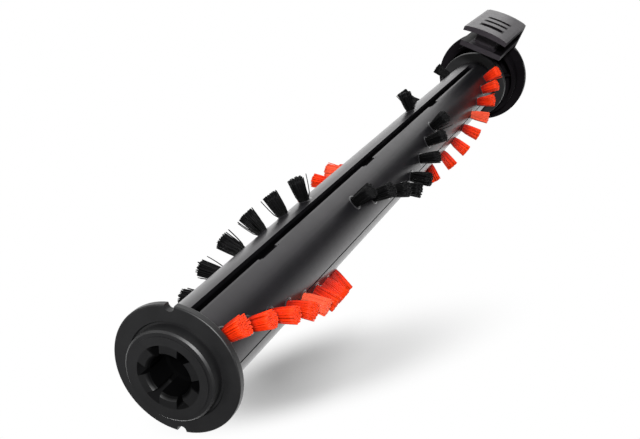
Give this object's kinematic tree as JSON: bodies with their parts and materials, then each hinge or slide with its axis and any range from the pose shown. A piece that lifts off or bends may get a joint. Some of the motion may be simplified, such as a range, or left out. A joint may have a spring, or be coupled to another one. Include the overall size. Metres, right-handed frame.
{
  "type": "vacuum brush roll",
  "caption": "Spinning brush roll for a vacuum head: black tube with helical red-orange and black tufts, a hair-cutting groove, a toothed drive socket and a ball-bearing end cap with finger tab.",
  "frame": {"origin": "centre of the end cap's flat outer face, on the roller axis", "axes": "+Z along the roller axis towards the drive socket; the end cap's finger tab points to -Y"},
  "size_m": [0.0394, 0.0494, 0.2753],
  "materials": {
    "black_core": "satin black moulding",
    "black_hub": "satin black moulding",
    "black_cap": "satin black moulding",
    "orange_bristle": "red-orange filament",
    "black_bristle": "black filament",
    "staple_steel": "drawn wire",
    "bearing_steel": "ground",
    "shield_steel": "pressed sheet",
    "axle_steel": "ground",
    "cage_nylon": "natural nylon",
    "grey_felt": "wool felt"
  },
  "bodies": {
    "end_cap_assembly": {"end_cap": "black_cap", "stub_axle": "axle_steel", "axle_clip": "axle_steel", "spacer_washer": "axle_steel", "bearing_inner_race": "bearing_steel"},
    "roller": {"core_tube": "black_core", "drive_hub": "black_hub", "far_plug": "black_hub", "tuft_staples": "staple_steel", "bearing_outer_race": "bearing_steel", "roller_side_shield": "shield_steel", "cap_side_shield": "shield_steel", "dust_felt": "grey_felt", "drive_end_bank_orange": "orange_bristle", "drive_end_bank_black": "black_bristle", "middle_bank_black": "black_bristle", "middle_bank_orange": "orange_bristle", "cap_end_bank_orange": "orange_bristle", "cap_end_bank_black": "black_bristle"},
    "ball_set": {"ball_cage": "cage_nylon", "bearing_balls": "bearing_steel"}
  },
  "joints": [
    {"name": "roller_spin", "type": "hinge", "parent": "end_cap_assembly", "child": "roller", "pos_m": [0, 0, 0.0125], "axis": [0, 0, 1], "continuous": true},
    {"name": "ball_set_spin", "type": "hinge", "parent": "end_cap_assembly", "child": "ball_set", "pos_m": [0, 0, 0.0125], "axis": [0, 0, 1], "continuous": true}
  ],
  "couplings": [
    {"joint": "ball_set_spin", "follows": "roller_spin", "ratio": 0.366}
  ]
}
